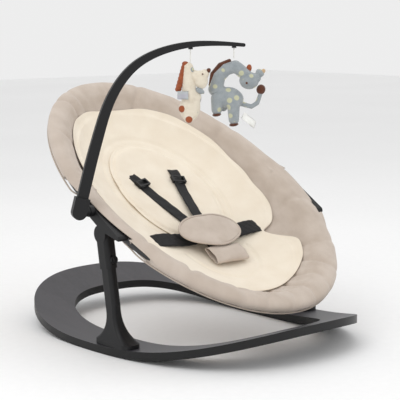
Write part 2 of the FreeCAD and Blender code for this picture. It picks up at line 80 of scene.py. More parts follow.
def awayFrom(target, azimuth, elevation, distance):
    a, e = math.radians(azimuth), math.radians(elevation)
    way = Vector((math.sin(a) * math.cos(e), -math.cos(a) * math.cos(e), math.sin(e)))
    return Vector(target) + way * distance


def aim(obj, target):
    obj.rotation_euler = (Vector(target) - obj.location).to_track_quat("-Z", "Y").to_euler()


camera = bpy.data.objects.new("studioCamera", bpy.data.cameras.new("studioCamera"))
scene.collection.objects.link(camera)
camera.data.lens = studio["lens"]
camera.data.sensor_width = 36
camera.data.clip_end = 60
camera.location = awayFrom(studio["target"], studio["azimuth"], studio["elevation"], studio["distance"])
aim(camera, studio["target"])
scene.camera = camera
print("camera set")


# materials
def tint(code):
    parts = [int(code[i:i + 2], 16) / 255 for i in (0, 2, 4)]
    return [p / 12.92 if p < 0.04045 else ((p + 0.055) / 1.055) ** 2.4 for p in parts] + [1]


def startGroup(name, inputs, outputs):
    group = bpy.data.node_groups.new(name, "ShaderNodeTree")
    for title, kind, value in inputs:
        made = group.interface.new_socket(title, in_out="INPUT", socket_type=kind)
        if value is not None:
            made.default_value = value
    for title in outputs:
        group.interface.new_socket(title, in_out="OUTPUT", socket_type="NodeSocketFloat")
    return group, group.nodes.new("NodeGroupInput"), group.nodes.new("NodeGroupOutput")


def mathNode(tree, operation, first, second=None):
    made = tree.nodes.new("ShaderNodeMath")
    made.operation = operation
    for socket, value in zip(made.inputs, (first, second)):
        if value is None:
            continue
        if isinstance(value, (int, float)):
            socket.default_value = value
        else:
            tree.links.new(value, socket)
    return made.outputs[0]


def buildWeave():
    # threads crossing over and under, and the uneven dye of woven cloth
    group, start, end = startGroup(
        "weave",
        [("Vector", "NodeSocketVector", None), ("Threads", "NodeSocketFloat", 3000.0),
         ("Mottle", "NodeSocketFloat", 30.0)],
        ["Height", "Shade"])
    split = group.nodes.new("ShaderNodeSeparateXYZ")
    group.links.new(start.outputs["Vector"], split.inputs[0])
    waves = []
    for axis in ("X", "Y"):
        turned = mathNode(group, "MULTIPLY", split.outputs[axis], start.outputs["Threads"])
        waves.append(mathNode(group, "SINE", turned))
    crossing = mathNode(group, "MULTIPLY", waves[0], waves[1])
    height = mathNode(group, "MULTIPLY_ADD", crossing, 0.5)
    height.node.inputs[2].default_value = 0.5
    cloud = group.nodes.new("ShaderNodeTexNoise")
    cloud.inputs["Detail"].default_value = 4
    group.links.new(start.outputs["Vector"], cloud.inputs["Vector"])
    group.links.new(start.outputs["Mottle"], cloud.inputs["Scale"])
    soft = mathNode(group, "MULTIPLY", cloud.outputs["Fac"], 0.75)
    shade = mathNode(group, "MULTIPLY_ADD", height, 0.25)
    group.links.new(soft, shade.node.inputs[2])
    group.links.new(height, end.inputs["Height"])
    group.links.new(shade, end.inputs["Shade"])
    return group


def buildGrain():
    # stretched noise for wood grain, and plain noise for moulded or plush surfaces
    group, start, end = startGroup(
        "grain",
        [("Vector", "NodeSocketVector", None), ("Stretch", "NodeSocketVector", (1, 1, 1)),
         ("Scale", "NodeSocketFloat", 100.0), ("Clouds", "NodeSocketFloat", 6.0)],
        ["Height", "Shade"])
    spread = group.nodes.new("ShaderNodeVectorMath")
    spread.operation = "MULTIPLY"
    group.links.new(start.outputs["Vector"], spread.inputs[0])
    group.links.new(start.outputs["Stretch"], spread.inputs[1])
    fine = group.nodes.new("ShaderNodeTexNoise")
    fine.inputs["Detail"].default_value = 5
    group.links.new(spread.outputs[0], fine.inputs["Vector"])
    group.links.new(start.outputs["Scale"], fine.inputs["Scale"])
    broad = group.nodes.new("ShaderNodeTexNoise")
    broad.inputs["Detail"].default_value = 2
    group.links.new(spread.outputs[0], broad.inputs["Vector"])
    group.links.new(start.outputs["Clouds"], broad.inputs["Scale"])
    mixed = mathNode(group, "MULTIPLY", fine.outputs["Fac"], 0.5)
    shade = mathNode(group, "MULTIPLY_ADD", broad.outputs["Fac"], 0.5)
    group.links.new(mixed, shade.node.inputs[2])
    group.links.new(fine.outputs["Fac"], end.inputs["Height"])
    group.links.new(shade, end.inputs["Shade"])
    return group


weaveGroup = buildWeave()
grainGroup = buildGrain()


def makeLook(name, recipe):
    look = bpy.data.materials.new(name)
    look.use_nodes = True
    tree = look.node_tree
    skin = tree.nodes["Principled BSDF"]
    skin.inputs["Metallic"].default_value = recipe.get("metal", 0)
    skin.inputs["Sheen Weight"].default_value = recipe.get("sheen", 0)
    skin.inputs["Sheen Roughness"].default_value = 0.5
    skin.inputs["Coat Weight"].default_value = recipe.get("coat", 0)
    skin.inputs["Coat Roughness"].default_value = 0.35
    skin.inputs["Specular IOR Level"].default_value = recipe.get("specular", 0.5)
    spot = tree.nodes.new("ShaderNodeTexCoord")
    pattern = tree.nodes.new("ShaderNodeGroup")
    if recipe["pattern"] == "weave":
        pattern.node_tree = weaveGroup
        tree.links.new(spot.outputs["UV"], pattern.inputs["Vector"])
        pattern.inputs["Threads"].default_value = recipe["threads"]
        pattern.inputs["Mottle"].default_value = recipe["mottle"]
    else:
        pattern.node_tree = grainGroup
        tree.links.new(spot.outputs["Object"], pattern.inputs["Vector"])
        pattern.inputs["Stretch"].default_value = recipe.get("stretch", (1, 1, 1))
        pattern.inputs["Scale"].default_value = recipe["scale"]
        pattern.inputs["Clouds"].default_value = recipe["clouds"]
    ramp = tree.nodes.new("ShaderNodeValToRGB")
    ramp.color_ramp.elements[0].position = recipe.get("from", 0.3)
    ramp.color_ramp.elements[1].position = recipe.get("to", 0.7)
    ramp.color_ramp.elements[0].color = tint(recipe["dark"])
    ramp.color_ramp.elements[1].color = tint(recipe["light"])
    tree.links.new(pattern.outputs["Shade"], ramp.inputs["Fac"])
    colour = ramp.outputs["Color"]
    if "spots" in recipe:
        # printed patches on the toy plush
        cells = tree.nodes.new("ShaderNodeTexVoronoi")
        cells.inputs["Scale"].default_value = recipe["spotScale"]
        tree.links.new(spot.outputs["Object"], cells.inputs["Vector"])
        patch = tree.nodes.new("ShaderNodeMapRange")
        patch.inputs["From Min"].default_value = recipe["spotSize"]
        patch.inputs["From Max"].default_value = recipe["spotSize"] + 0.06
        patch.inputs["To Min"].default_value = 1
        patch.inputs["To Max"].default_value = 0
        tree.links.new(cells.outputs["Distance"], patch.inputs["Value"])
        over = tree.nodes.new("ShaderNodeMix")
        over.data_type = "RGBA"
        tree.links.new(patch.outputs["Result"], over.inputs["Factor"])
        tree.links.new(colour, over.inputs["A"])
        over.inputs["B"].default_value = tint(recipe["spots"])
        colour = over.outputs["Result"]
    if "paintedShade" in recipe:
        # painted light by facing: faces turned up keep the lighter colour as a painted reflection of the bright room,
        # and sides and undersides get the darker colour as painted shade
        faceUp = tree.nodes.new("ShaderNodeNewGeometry")
        split = tree.nodes.new("ShaderNodeSeparateXYZ")
        tree.links.new(faceUp.outputs["Normal"], split.inputs[0])
        litTopMask = tree.nodes.new("ShaderNodeMapRange")
        litTopMask.inputs["From Min"].default_value = 0.55
        litTopMask.inputs["From Max"].default_value = 0.85
        tree.links.new(split.outputs["Z"], litTopMask.inputs["Value"])
        paintedLightMix = tree.nodes.new("ShaderNodeMix")
        paintedLightMix.data_type = "RGBA"
        tree.links.new(litTopMask.outputs["Result"], paintedLightMix.inputs["Factor"])
        paintedLightMix.inputs["A"].default_value = tint(recipe["paintedShade"])
        tree.links.new(colour, paintedLightMix.inputs["B"])
        colour = paintedLightMix.outputs["Result"]
    tree.links.new(colour, skin.inputs["Base Color"])
    rough = tree.nodes.new("ShaderNodeMapRange")
    rough.inputs["To Min"].default_value = recipe["rough"] - 0.05
    rough.inputs["To Max"].default_value = recipe["rough"] + 0.05
    tree.links.new(pattern.outputs["Shade"], rough.inputs["Value"])
    tree.links.new(rough.outputs["Result"], skin.inputs["Roughness"])
    bump = tree.nodes.new("ShaderNodeBump")
    bump.inputs["Strength"].default_value = recipe["bump"]
    bump.inputs["Distance"].default_value = recipe["deep"]
    tree.links.new(pattern.outputs["Height"], bump.inputs["Height"])
    tree.links.new(bump.outputs["Normal"], skin.inputs["Normal"])
    return look


recipes = {
    # board: the top colours are the black stain lightened a little as a painted reflection, and the darkest colour is
    # painted shade for the sides and undersides
    "board_black": {"pattern": "grain", "stretch": (0.6, 14, 14), "scale": 22, "clouds": 3,
                    "dark": "3a393d", "light": "4d4b50", "paintedShade": "131314",
                    "rough": 0.42, "bump": 0.25, "deep": 0.0004, "specular": 0.35},
    "plastic_black": {"pattern": "grain", "scale": 900, "clouds": 12, "dark": "0e0e0f", "light": "18181a",
                      "rough": 0.48, "bump": 0.25, "deep": 0.0003, "specular": 0.35},
    "steel_black": {"pattern": "grain", "scale": 700, "clouds": 10, "dark": "161617", "light": "242426",
                    "rough": 0.4, "bump": 0.15, "deep": 0.0002, "coat": 0.2},
    "steel_pin": {"pattern": "grain", "stretch": (1, 8, 1), "scale": 500, "clouds": 20, "metal": 1,
                  "dark": "7d7f82", "light": "a4a6a8", "rough": 0.3, "bump": 0.1, "deep": 0.0002},
    "rubber_black": {"pattern": "grain", "scale": 1200, "clouds": 30, "dark": "101010", "light": "1b1b1b",
                     "rough": 0.8, "bump": 0.3, "deep": 0.0003},
    "fabric_taupe": {"pattern": "weave", "threads": 3600, "mottle": 24, "dark": "b9aa9c", "light": "ccbfb3",
                     "rough": 0.88, "bump": 0.35, "deep": 0.0005, "sheen": 0.25, "specular": 0.25},
    "fabric_cream": {"pattern": "weave", "threads": 4800, "mottle": 18, "dark": "e6d9c5", "light": "f0e6d5",
                     "rough": 0.9, "bump": 0.25, "deep": 0.0004, "sheen": 0.3, "specular": 0.2},
    "webbing_black": {"pattern": "weave", "threads": 2600, "mottle": 120, "dark": "0f0f10", "light": "262628",
                      "rough": 0.72, "bump": 0.7, "deep": 0.0008, "specular": 0.4},
    "plush_cream": {"pattern": "grain", "scale": 1100, "clouds": 90, "dark": "dcd0bb", "light": "f1e8d6",
                    "spots": "a9a9a6", "spotScale": 42, "spotSize": 0.2,
                    "rough": 0.95, "bump": 0.8, "deep": 0.0012, "sheen": 0.5, "specular": 0.15},
    "plush_grey": {"pattern": "grain", "scale": 1100, "clouds": 90, "dark": "8d959a", "light": "abb1b3",
                   "spots": "c7c7a8", "spotScale": 52, "spotSize": 0.24,
                   "rough": 0.95, "bump": 0.8, "deep": 0.0012, "sheen": 0.5, "specular": 0.15},
    "tape_white": {"pattern": "weave", "threads": 5200, "mottle": 160, "dark": "e4e4df", "light": "f8f8f4",
                   "rough": 0.8, "bump": 0.4, "deep": 0.0003, "specular": 0.3},
}
looks = {name: makeLook(name + "Look", recipe) for name, recipe in recipes.items()}
rustLook = makeLook("rustFeltLook", {
    "pattern": "grain", "scale": 1000, "clouds": 120, "dark": "8a4528", "light": "ab5f3c",
    "rough": 0.93, "bump": 0.7, "deep": 0.0009, "sheen": 0.4, "specular": 0.15})
brownLook = makeLook("brownFeltLook", {
    "pattern": "grain", "scale": 1000, "clouds": 120, "dark": "4a2a1c", "light": "6a4030",
    "rough": 0.93, "bump": 0.7, "deep": 0.0009, "sheen": 0.4, "specular": 0.15})
tanLook = makeLook("tanFeltLook", {
    "pattern": "grain", "scale": 1000, "clouds": 120, "dark": "b89a76", "light": "d0b592",
    "rough": 0.93, "bump": 0.7, "deep": 0.0009, "sheen": 0.4, "specular": 0.15})
pipingLook = makeLook("pipingLook", {
    "pattern": "grain", "scale": 1500, "clouds": 60, "dark": "a89b8e", "light": "c2b6aa",
    "rough": 0.88, "bump": 0.5, "deep": 0.0004, "sheen": 0.2, "specular": 0.2})

slotOf = {}
for name, node in nodes.items():
    wanted = node.data.materials[0].name.split(".")[0] if node.data.materials else ""
    slotOf[name] = wanted
    for place in node.material_slots:
        place.material = looks.get(wanted, looks["plastic_black"])
print("materials built")


# helpers
def share(value):
    return max(0, min(1, value))


def makePiece(name, shape, look, place=None, replaces=(), smooth=True):
    if place is not None:
        shape.transform(place)
    bmesh.ops.remove_doubles(shape, verts=shape.verts, dist=1e-5)
    bmesh.ops.recalc_face_normals(shape, faces=shape.faces)
    mesh = bpy.data.meshes.new(name)
    shape.to_mesh(mesh)
    shape.free()
    if smooth:
        mesh.shade_smooth()
    mesh.materials.append(look)
    obj = bpy.data.objects.new(name, mesh)
    scene.collection.objects.link(obj)
    if replaces:
        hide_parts(*replaces)
    return obj


def settle(obj):
    # what the modifiers make becomes the mesh
    deps = bpy.context.evaluated_depsgraph_get()
    mesh = bpy.data.meshes.new_from_object(
        obj.evaluated_get(deps), preserve_all_data_layers=True, depsgraph=deps)
    obj.modifiers.clear()
    obj.data = mesh
    mesh.shade_smooth()


def refine(obj, levels):
    sub = obj.modifiers.new("smoother", "SUBSURF")
    sub.levels = sub.render_levels = levels
    settle(obj)


onceRound = 1.885  # metres of cloth once round the shell
seamJump = 0.9  # a longer step than this means the face crosses the cloth's own seam


def clothMap(obj, onCloth):
    # threads run along the piece, in metres
    layer = obj.data.uv_layers.get("cloth") or obj.data.uv_layers.new(name="cloth")
    for face in obj.data.polygons:
        first = None
        for loop in face.loop_indices:
            u, v = onCloth(toSeat @ obj.data.vertices[obj.data.loops[loop].vertex_index].co)
            if first is not None and abs(u - first) > seamJump:
                u += onceRound if u < first else -onceRound
            first = u if first is None else first
            layer.data[loop].uv = (u, v)


def swell(obj, cap, pressure=4, steps=20):
    # blown up a little as cloth, with no gravity, and held near where it started
    home = [v.co.copy() for v in obj.data.vertices]
    cloth = obj.modifiers.new("air", "CLOTH")
    cloth.settings.quality = 5
    cloth.settings.use_pressure = True
    cloth.settings.uniform_pressure_force = pressure
    cloth.settings.effector_weights.gravity = 0
    for step in range(1, steps + 1):
        scene.frame_set(step)
    settle(obj)
    for v, start in zip(obj.data.vertices, home):
        move = v.co - start
        if move.length > cap:
            v.co = start + move * (cap / move.length)
    scene.frame_set(1)


def press(obj, dent):
    # moves each point along the seat's up by what dent(point in the seat frame) says
    for v in obj.data.vertices:
        v.co += seatUp * dent(toSeat @ v.co)
    obj.data.update()


def radiusTable(points, centre):
    # radius by angle of a closed outline that its centre sees whole, with its corners rounded
    both = points + [(s, -y) for s, y in reversed(points[1:-1])]
    polar = sorted(
        (math.atan2(y - centre[1], s - centre[0]), math.hypot(s - centre[0], y - centre[1])) for s, y in both)
    polar = [(a - math.tau, r) for a, r in polar] + polar + [(a + math.tau, r) for a, r in polar]
    raw = []
    count = 720
    for k in range(count):
        angle = -math.pi + math.tau * k / count
        i = next(i for i, (a, r) in enumerate(polar) if a > angle)
        (a0, r0), (a1, r1) = polar[i - 1], polar[i]
        raw.append(r0 + (r1 - r0) * (angle - a0) / (a1 - a0))
    for turn in range(3):
        raw = [sum(raw[(k + d) % count] for d in range(-4, 5)) / 9 for k in range(count)]

    def radius(angle):
        spot = (angle + math.pi) / math.tau * count
        k = int(math.floor(spot))
        part = spot - k
        return raw[k % count] * (1 - part) + raw[(k + 1) % count] * part
    return radius


def ellipseRadius(a, b):
    return lambda angle: a * b / math.hypot(b * math.cos(angle), a * math.sin(angle))


def bowl(radii, over=None):
    # an oval bowl that runs on at its edge as a slope, and never under the lining
    a, b, d = radii
    slopeFrom = 0.08  # past here the root of it, 0.2828, runs on straight

    def height(s, y):
        k = 1 - (s / a) ** 2 - (y / b) ** 2
        level = -d * (math.sqrt(k) if k > slopeFrom else 0.2828 + (k - slopeFrom) / 0.5657)
        return level if over is None else max(level, over(s, y))
    return height


def cushionShape(radius, centre, top, thick, cells, grow=0.0, roundness=8):
    # a flat square of cloth, two layers, pushed out to the outline and onto the bowl
    shape = bmesh.new()
    bmesh.ops.create_grid(shape, x_segments=cells[0], y_segments=cells[1], size=1)
    bmesh.ops.solidify(shape, geom=shape.faces[:], thickness=0.1)
    middle = (max(v.co.z for v in shape.verts) + min(v.co.z for v in shape.verts)) / 2
    for v in shape.verts:
        x, y = v.co.x, v.co.y
        side = 1 if v.co.z > middle else -1
        u, w = x * math.sqrt(max(0, 1 - y * y / 2)), y * math.sqrt(max(0, 1 - x * x / 2))
        r, angle = min(1, math.hypot(u, w)), math.atan2(w, u)
        far = radius(angle) - grow
        s, across = centre[0] + r * far * math.cos(angle), centre[1] + r * far * math.sin(angle)
        half = (thick / 2 - grow) * (0.25 + 0.75 * math.sqrt(1 - r ** roundness))
        v.co = (s, across, top(s, across) - thick / 2 + side * half)
    return shape


def pipe(name, points, radius, look, closed=False, body="seat", place=None, turns=3):
    line = bpy.data.curves.new(name, "CURVE")
    line.dimensions = "3D"
    line.bevel_depth = radius
    line.bevel_resolution = turns
    spline = line.splines.new("NURBS")
    spline.points.add(len(points) - 1)
    for dot, p in zip(spline.points, points):
        dot.co = (*(place @ Vector(p) if place is not None else Vector(p)), 1)
    spline.order_u = 3
    spline.use_cyclic_u = closed
    spline.use_endpoint_u = not closed
    line.use_fill_caps = not closed
    holder = bpy.data.objects.new(name, line)
    scene.collection.objects.link(holder)
    deps = bpy.context.evaluated_depsgraph_get()
    mesh = bpy.data.meshes.new_from_object(holder.evaluated_get(deps), depsgraph=deps)
    bpy.data.objects.remove(holder)
    shape = bmesh.new()
    shape.from_mesh(mesh)
    made = makePiece(name, shape, look)
    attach(made, body)
    return made


# the padded shell
shellParts = {
    "ringLong": 0.360, "ringWide": 0.262, "bowlLong": 0.316, "bowlWide": 0.222,
    "outside": [(0, -.0905), (.06, -.0878), (.12, -.0782), (.17, -.0625), (.205, -.0452), (.235, -.0265),
                (.252, -.0175), (.266, -.0135), (.2745, -.0065), (.2765, .002), (.2735, .0095), (.264, .0145),
                (.252, .0145)],
    "inside": [(.241, .0105), (.2325, .0045), (.2255, -.004), (.218, -.0155), (.205, -.0318), (.18, -.0478),
               (.14, -.0628), (.08, -.0752), (0, -.0805)],
    "pleats": [(52, .004), (38, .006), (24, .0045), (12, .0065), (-1, .005), (-13, .0075), (-28, .005),
               (-43, .0065), (-62, .004), (-100, .0025), (-128, .004), (-149, .0075), (-160, .004),
               (163, .006), (140, .0035), (118, .004), (74, .0035)],
    "wrinkle": 0.0011,
}


rail = {
    "start": -0.014, "end": 0.136, "top": 0.0112, "half": 0.2470,
    "lipStart": -0.080, "lipEnd": 0.215, "fade": 0.080, "lipFrom": 0.236, "lipReach": 0.20,
    "lipHeight": 0.0118, "lipRise": 0.0010,
    "lugStart": 0.026, "lugEnd": 0.086, "lugLow": -0.062, "lugTop": -0.009, "lugHalf": 0.2213,
}


def toRing(rho, cosine, sine):
    bowlWide, ringWide = shellParts["bowlWide"], shellParts["ringWide"]
    if rho <= bowlWide:
        long = rho * shellParts["bowlLong"] / bowlWide
    elif rho <= ringWide:
        gain = (shellParts["ringLong"] - shellParts["bowlLong"]) / (ringWide - bowlWide)
        long = shellParts["bowlLong"] + (rho - bowlWide) * gain
    else:
        long = shellParts["ringLong"] + rho - ringWide
    return cosine * long, sine * rho


def liningAt(s, y):
    # height of the bowl's inner cloth, before pleats
    rho = math.hypot(s * shellParts["bowlWide"] / shellParts["bowlLong"], y)
    dots = shellParts["inside"]
    for (far, high), (near, low) in zip(dots, dots[1:]):
        if rho > near:
            return low + (high - low) * min(1, (rho - near) / (far - near))
    return dots[-1][1]


def buildShell():
    shape = bmesh.new()
    dots = [shape.verts.new((r, 0, h)) for r, h in shellParts["outside"] + shellParts["inside"]]
    line = [shape.edges.new(pair) for pair in zip(dots, dots[1:])]
    bmesh.ops.spin(shape, geom=dots + line, cent=(0, 0, 0), axis=(0, 0, 1), dvec=(0, 0, 0),
                   angle=math.tau, steps=180, use_merge=True)
    bmesh.ops.remove_doubles(shape, verts=shape.verts, dist=1e-5)
    for v in shape.verts:
        rho = math.hypot(v.co.x, v.co.y)
        if rho > 1e-6:
            v.co.x, v.co.y = toRing(rho, v.co.x / rho, v.co.y / rho)
    return makePiece("seatShell", shape, looks["fabric_taupe"], seatPlace, ["seat_shell"])


def shapeShell(obj):
    a, b = shellParts["ringLong"], shellParts["ringWide"]
    for v in obj.data.vertices:
        p = toSeat @ v.co
        angle = math.atan2(p.y / b, p.x / a)
        out = math.hypot(p.x / a, p.y / b)
        near = share((out - 0.62) / 0.2) if p.z > -0.06 else 0
        inside = 1 if p.z > -0.012 or out < 0.9 else 0.25
        inside *= 1 - 0.72 * share((out - 0.925) / 0.04)  # the frame tube fills the rim
        drop = 0
        for degrees, depth in shellParts["pleats"]:
            away = (angle - math.radians(degrees) + math.pi) % math.tau - math.pi
            bend = away + 0.05 * math.sin(out * 14 + degrees)
            fold = math.exp(-(bend / 0.022) ** 2)
            puff = math.exp(-((abs(bend) - 0.06) / 0.035) ** 2)
            drop += depth * (fold - 0.35 * puff)
        ripple = noise.noise(Vector((p.x * 13, p.y * 13, p.z * 9)), noise_basis="PERLIN_ORIGINAL")
        fine = noise.noise(Vector((p.x * 45, p.y * 45, p.z * 30)), noise_basis="PERLIN_ORIGINAL")
        lift = -drop * near * inside + shellParts["wrinkle"] * (ripple + 0.4 * fine) * near
        p.z += lift
        grow = 1 + lift * 1.2
        p.x, p.y = p.x * grow, p.y * grow
        byRail = share((p.x - rail["lipStart"]) / rail["fade"]) * share((rail["lipEnd"] - p.x) / rail["fade"])
        byRail *= byRail * (3 - 2 * byRail)
        if rail["start"] < p.x < rail["end"] and p.z < rail["top"]:  # room for the side rails
            p.y = max(-rail["half"], min(rail["half"], p.y))
        elif byRail and abs(p.y) > rail["lipFrom"]:  # over them the cover makes a lip
            p.y += math.copysign((abs(p.y) - rail["lipFrom"]) * rail["lipReach"] * byRail, p.y)
            p.z = max(p.z, rail["lipHeight"] * byRail) + rail["lipRise"] * byRail
        if rail["lugStart"] < p.x < rail["lugEnd"] and rail["lugLow"] < p.z < rail["lugTop"]:  # and for their lugs
            p.y = max(-rail["lugHalf"], min(rail["lugHalf"], p.y))
        v.co = seatPlace @ p
    obj.data.update()


shell = buildShell()
refine(shell, 2)
shapeShell(shell)
clothMap(shell, lambda p: (math.atan2(p.y / .262, p.x / .36) * 0.3,
                           math.hypot(p.x / .36, p.y / .262) * 0.3 + p.z))
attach(shell, "seat")
print("shell", len(shell.data.polygons))

# the piping that closes the cover under its outer edge
rimLine = []
for k in range(90):
    angle = math.tau * k / 90
    s, y = toRing(0.2725, math.cos(angle), math.sin(angle))
    h = -0.0105
    if -0.02 < s < 0.14:
        y = max(-0.2465, min(0.2465, y))
    rimLine.append((s, y, h))
pipe("rimPiping", rimLine, 0.0016, pipingLook, closed=True, place=seatPlace)

# the cream inlay and its pad
inlayParts = {
    "outline": [(-.306, 0), (-.298, .075), (-.262, .130), (-.200, .172), (-.105, .200), (-.020, .207),
                (.060, .200), (.096, .180), (.110, .134), (.132, .166), (.172, .178), (.222, .150),
                (.262, .100), (.286, .045), (.292, 0)],
    "centre": (.02, 0), "bowl": (.3035, .2095, .0675), "thick": .012, "swell": .003,
    "overLining": .0095, "cells": (110, 84),
}
padParts = {
    "outline": (.162, .120), "centre": (-.056, 0), "bowl": (.294, .200, .058), "thick": .010, "swell": .003,
    "cells": (70, 54),
}


def buildCushion(name, parts, radius, top, look, replaces):
    room = parts["swell"]  # what the air will fill
    shape = cushionShape(radius, parts["centre"], top, parts["thick"], parts["cells"], room)
    made = makePiece(name, shape, look, seatPlace, replaces)
    swell(made, parts["swell"])
    refine(made, 1)
    return made


def ring(p, centre, a, b, width):
    # how near a point is to an ellipse drawn on the cloth, 1 on it
    out = math.hypot((p.x - centre[0]) / a, (p.y - centre[1]) / b)
    return math.exp(-(((out - 1) * min(a, b)) / width) ** 2)


inlayRadius = radiusTable(inlayParts["outline"], inlayParts["centre"])
inlayBowl = bowl(inlayParts["bowl"], lambda s, y: liningAt(s, y) + inlayParts["overLining"])
inlay = buildCushion("seatInlay", inlayParts, inlayRadius, inlayBowl, looks["fabric_cream"],
                     ["seat_inlay"])


def inlayDent(p):
    seam = -0.0022 * ring(p, (-.056, 0), .174, .131, .004) if p.x < 0.1 else 0
    lobe = -0.0020 * ring(p, (.120, 0), .110, .082, .004) if p.x > 0.128 else 0
    drift = 0.0008 * noise.noise(Vector((p.x * 16, p.y * 16, 3)), noise_basis="PERLIN_ORIGINAL")
    return seam + lobe + drift


press(inlay, inlayDent)
clothMap(inlay, lambda p: (p.x, p.y))
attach(inlay, "seat")

innerPad = buildCushion("innerPad", padParts, ellipseRadius(*padParts["outline"]), bowl(padParts["bowl"]),
                        looks["fabric_cream"], ["inner_pad"])
press(innerPad, lambda p: -0.0012 * ring(p, (-.056, 0), .150, .108, .003)
      + 0.0006 * noise.noise(Vector((p.x * 20, p.y * 20, 8)), noise_basis="PERLIN_ORIGINAL"))
clothMap(innerPad, lambda p: (p.x, p.y))
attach(innerPad, "seat")
print("inlay and pad", len(inlay.data.polygons), len(innerPad.data.polygons))

# crotch pad and sleeve
crotchParts = {"half": (.043, .077), "centre": (.097, -.003), "top": -.0258, "thick": .0085, "swell": .002,
               "cells": (34, 52)}


def crotchRadius(angle):
    plain = ellipseRadius(*crotchParts["half"])(angle)
    return plain * (1 + 0.05 * math.cos(3 * angle))


def crotchTop(s, y):
    # it arches a little from side to side and dips towards the feet
    return crotchParts["top"] - 0.9 * y * y - 0.05 * (s - crotchParts["centre"][0])


crotchPad = buildCushion("crotchPad", crotchParts, crotchRadius, crotchTop, looks["fabric_taupe"],
                         ["crotch_pad"])
clothMap(crotchPad, lambda p: (p.x, p.y))
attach(crotchPad, "seat")
binding = []
for k in range(48):
    angle = math.tau * k / 48
    far = crotchRadius(angle) * 0.995
    s = crotchParts["centre"][0] + far * math.cos(angle)
    y = crotchParts["centre"][1] + far * math.sin(angle)
    binding.append((s, y, crotchTop(s, y) - crotchParts["thick"] / 2 + .001))
pipe("crotchBinding", binding, 0.0022, looks["fabric_taupe"], closed=True, place=seatPlace)

sleeveParts = {"centre": .157, "half": .0235, "rise": .0085, "height": -.0445, "wide": .043, "wall": .0016}


def buildSleeve():
    # a flattened tube of cloth, open at both ends
    shape = bmesh.new()
    hoop = bmesh.ops.create_circle(shape, segments=40, radius=1, cap_ends=False)["verts"]
    for v in hoop:
        flat = v.co.copy()
        belly = 1 if flat.y > 0 else 0.55
        v.co = (sleeveParts["centre"] + flat.x * sleeveParts["half"], -sleeveParts["wide"],
                sleeveParts["height"] + flat.y * sleeveParts["rise"] * belly)
    edges = shape.edges[:]
    steps = 8
    for k in range(steps):
        made = bmesh.ops.extrude_edge_only(shape, edges=edges)["geom"]
        fresh = [g for g in made if isinstance(g, bmesh.types.BMVert)]
        edges = [g for g in made if isinstance(g, bmesh.types.BMEdge) and g.is_boundary]
        bmesh.ops.translate(shape, verts=fresh, vec=(0, 2 * sleeveParts["wide"] / steps, 0))
    for v in shape.verts:
        mid = math.cos(v.co.y / sleeveParts["wide"] * math.pi / 2)
        v.co.z += 0.002 * mid * (1 if v.co.z > sleeveParts["height"] else 0)
        v.co.z += 0.0006 * math.sin(v.co.x * 260 + v.co.y * 90)
    bmesh.ops.recalc_face_normals(shape, faces=shape.faces)
    bmesh.ops.solidify(shape, geom=shape.faces[:], thickness=sleeveParts["wall"])
    return makePiece("crotchSleeve", shape, looks["fabric_taupe"], seatPlace,
                     ["crotch_sleeve"])


sleeve = buildSleeve()
refine(sleeve, 1)
clothMap(sleeve, lambda p: (p.x, p.y))
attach(sleeve, "seat")
print("crotch pad and sleeve")


# harness
def surfaceOf(*pieces):
    trees = []
    for piece in pieces:
        shape = bmesh.new()
        shape.from_mesh(piece.data)
        shape.transform(toSeat)
        trees.append(BVHTree.FromBMesh(shape))
        shape.free()

    def height(s, y):
        best = -0.08
        for tree in trees:
            hit = tree.ray_cast(Vector((s, y, 0.2)), Vector((0, 0, -1)))[0]
            if hit is not None:
                best = max(best, hit.z)
        return best
    return height


harness = {
    "wide": .025, "thick": .0018, "clear": .0007,
    "shoulder": {"line": [(-.126, .0590), (-.110, .0560), (-.060, .0430), (-.010, .0300), (.030, .0200),
                          (.052, .0165)],
                 "lift": [-.006, .0005, .001, .0035, .0045, .004]},
    "waist": {"line": [(.088, .1480), (.090, .1300), (.092, .1000), (.092, .0700), (.090, .0370)],
              "lift": [-.006, .003, .009, .008, .006]},
    "crotch": {"line": [(.150, 0), (.135, 0), (.118, 0), (.104, 0)], "lift": [.002, .001, .002, .004]},
}
bedAt = surfaceOf(inlay, innerPad)


def alongLine(values, t):
    # smooth value through a short list
    spot = t * (len(values) - 1)
    k = min(int(spot), len(values) - 2)
    f = spot - k
    ends = [values[max(0, k - 1)], values[k], values[k + 1], values[min(len(values) - 1, k + 2)]]
    a, b, c, d = ends
    return b + 0.5 * f * (c - a + f * (2 * a - 5 * b + 4 * c - d + f * (3 * (b - c) + d - a)))


def buildStrap(name, part, side, replaces, wide=None, twist=0.0, rows=60):
    wide = wide or harness["wide"]
    shape = bmesh.new()
    bmesh.ops.create_grid(shape, x_segments=rows, y_segments=8, size=1)
    onTape = shape.verts.layers.float_vector.new("tape")
    lineX, lineY = [p[0] for p in part["line"]], [p[1] for p in part["line"]]
    for v in shape.verts:
        t, across = (v.co.x + 1) / 2, v.co.y * wide / 2
        here, ahead, back = (Vector((alongLine(lineX, f), alongLine(lineY, f)))
                             for f in (t, min(1, t + .01), max(0, t - .01)))
        way = (ahead - back).normalized()
        normal = Vector((-way.y, way.x))
        spot = here + normal * across
        base = max(bedAt(spot.x, spot.y), bedAt(here.x, here.y) - .004)
        h = base + harness["clear"] + alongLine(part["lift"], t) + twist * across * math.sin(math.pi * t)
        h += 0.0004 * math.sin(t * 46 + across * 300)
        v[onTape] = (across, t * 0.2, 0)
        v.co = (spot.x, spot.y * side, h)
    bmesh.ops.solidify(shape, geom=shape.faces[:], thickness=-harness["thick"] * side)
    tape = [tuple(v[onTape]) for v in shape.verts]
    made = makePiece(name, shape, looks["webbing_black"], seatPlace, replaces)
    layer = made.data.uv_layers.new(name="cloth")
    if len(tape) == len(made.data.vertices):
        for loop in made.data.loops:
            layer.data[loop.index].uv = tape[loop.vertex_index][:2]
    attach(made, "seat")
    return made


